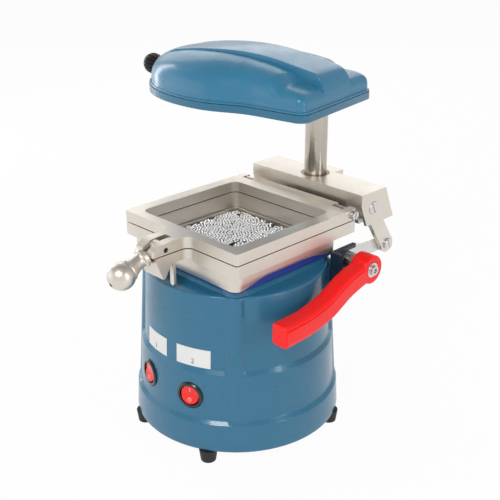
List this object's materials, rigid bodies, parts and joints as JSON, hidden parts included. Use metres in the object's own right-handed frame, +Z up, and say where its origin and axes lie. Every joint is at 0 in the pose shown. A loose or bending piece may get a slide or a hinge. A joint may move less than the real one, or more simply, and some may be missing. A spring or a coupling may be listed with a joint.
{
  "type": "dental vacuum former",
  "caption": "Bench vacuum former for dental sheet: round motor body, square clamp frames on a column, lift lever, swing-out heater head and turning lock knob.",
  "frame": {"origin": "on the axis of the round body, at the level of the table that the rubber feet stand on", "axes": "+Z up along the body, motor and column direction; -Y is the front with the two switches and the frame lock; +X is the side of the red lift lever; the column stands at +Y"},
  "size_m": [0.299, 0.2921, 0.306],
  "materials": {
    "black_plastic": "moulded, fine grain",
    "black_rubber": "moulded, matt",
    "blue_cover": "smooth gloss enamel",
    "blue_paint": "smooth semi-gloss enamel",
    "bright_reflector": "polished sheet",
    "bright_steel": "zinc plated",
    "bronze": "sintered bronze, oiled",
    "brushed_alloy": "fine brushed satin",
    "ceramic": "fired ceramic",
    "copper_winding": "enamelled wire and laminations",
    "element": "oxidised heating wire",
    "fan_alloy": "bright pressed sheet",
    "gasket_blue": "soft silicone sponge, satin",
    "lever_red": "gloss moulded",
    "navy_paint": "dark enamel",
    "rocker_red": "translucent red, gloss",
    "sheet_steel": "plain sheet",
    "shot_steel": "polished balls",
    "steel_column": "ground and polished",
    "switch_black": "gloss black",
    "white_plate": "white laminated plate"
  },
  "bodies": {
    "base": {"base_housing": "blue_paint", "bottom_plate": "sheet_steel", "rubber_feet": "black_rubber", "m4_screws": "bright_steel", "motor_shelf": "sheet_steel", "standoffs": "bronze", "motor_can": "sheet_steel", "stator": "copper_winding", "bearings": "bright_steel", "fan_bowl": "fan_alloy", "fan_lid": "fan_alloy", "seal_ring": "black_rubber", "switch_body_left": "switch_black", "switch_body_right": "switch_black", "front_plates": "white_plate", "power_inlet": "black_plastic", "inlet_pins": "bright_steel", "blue_gasket": "gasket_blue", "shot_tray": "brushed_alloy", "suction_plate": "brushed_alloy", "steel_shot": "shot_steel", "column": "steel_column", "column_screws": "bright_steel", "thrust_washer": "bronze", "column_nut": "bright_steel", "lever_bracket": "navy_paint", "shaft_bush": "bronze"},
    "motor": {"rotor": "bright_steel", "impeller": "fan_alloy"},
    "rocker_left": {"rocker_left": "rocker_red"},
    "rocker_right": {"rocker_right": "rocker_red"},
    "carriage": {"carriage_block": "brushed_alloy", "column_bushes": "bronze", "link_screw": "bright_steel", "clamp_screw": "bright_steel", "frame_screws": "bright_steel", "lower_frame": "brushed_alloy", "skirt": "brushed_alloy", "clamp_gasket": "black_rubber", "hinge_screws": "bright_steel", "guide_tongue": "brushed_alloy"},
    "top_frame": {"upper_frame": "brushed_alloy", "lock_pin": "bright_steel"},
    "lock_bolt": {"swing_bolt": "brushed_alloy"},
    "lock_handle": {"lock_knob": "brushed_alloy"},
    "lever": {"lever_shaft": "bright_steel", "crank_arm": "bright_steel", "red_lever": "lever_red", "lever_bolt": "bright_steel", "crank_screw": "bright_steel"},
    "link": {"lift_link": "brushed_alloy"},
    "head": {"head_tray": "blue_paint", "head_cover": "blue_cover", "head_hub": "sheet_steel", "head_screws": "bright_steel", "reflector": "bright_reflector", "heater_plate": "ceramic", "heater_coil": "element", "heater_guard": "sheet_steel", "head_knob": "black_plastic"}
  },
  "joints": [
    {"name": "head_swing", "type": "hinge", "parent": "base", "child": "head", "pos_m": [0, 0.0993, 0.268], "axis": [0, 0, -1], "range_deg": [-80.4, 50]},
    {"name": "carriage_lift", "type": "slide", "parent": "base", "child": "carriage", "axis": [0, 0, 1], "range_m": [0, 0.04]},
    {"name": "lever_turn", "type": "hinge", "parent": "base", "child": "lever", "pos_m": [0.07, 0.064, 0.1463], "axis": [1, 0, 0], "range_deg": [-0.5, 37]},
    {"name": "link_swing", "type": "hinge", "parent": "lever", "child": "link", "pos_m": [0.0642, 0.1229, 0.1439], "axis": [1, 0, 0], "range_deg": [-48, 0.5]},
    {"name": "top_frame_open", "type": "hinge", "parent": "carriage", "child": "top_frame", "pos_m": [0, 0.0715, 0.1852], "axis": [-1, 0, 0], "range_deg": [0, 45]},
    {"name": "lock_bolt_swing", "type": "hinge", "parent": "top_frame", "child": "lock_bolt", "pos_m": [0.0015, -0.0868, 0.1843], "axis": [-1, 0, 0], "range_deg": [0, 80]},
    {"name": "lock_knob_turn", "type": "hinge", "parent": "lock_bolt", "child": "lock_handle", "pos_m": [0.0015, -0.0868, 0.1843], "axis": [0, -0.9278, -0.373], "range_deg": [0, 1080]},
    {"name": "rocker_left_tilt", "type": "hinge", "parent": "base", "child": "rocker_left", "pos_m": [-0.01988, -0.07687, 0.06], "axis": [0.9681, -0.2504, 0], "range_deg": [0, 12]},
    {"name": "rocker_right_tilt", "type": "hinge", "parent": "base", "child": "rocker_right", "pos_m": [0.02585, -0.07507, 0.0585], "axis": [0.9455, 0.3256, 0], "range_deg": [0, 12]},
    {"name": "motor_spin", "type": "hinge", "parent": "base", "child": "motor", "pos_m": [0, 0, 0.08], "axis": [0, 0, 1], "continuous": true}
  ],
  "couplings": [
    {"joint": "lever_turn", "follows": "carriage_lift", "rad_per_m": 15.539},
    {"joint": "link_swing", "follows": "carriage_lift", "rad_per_m": -20.069}
  ]
}
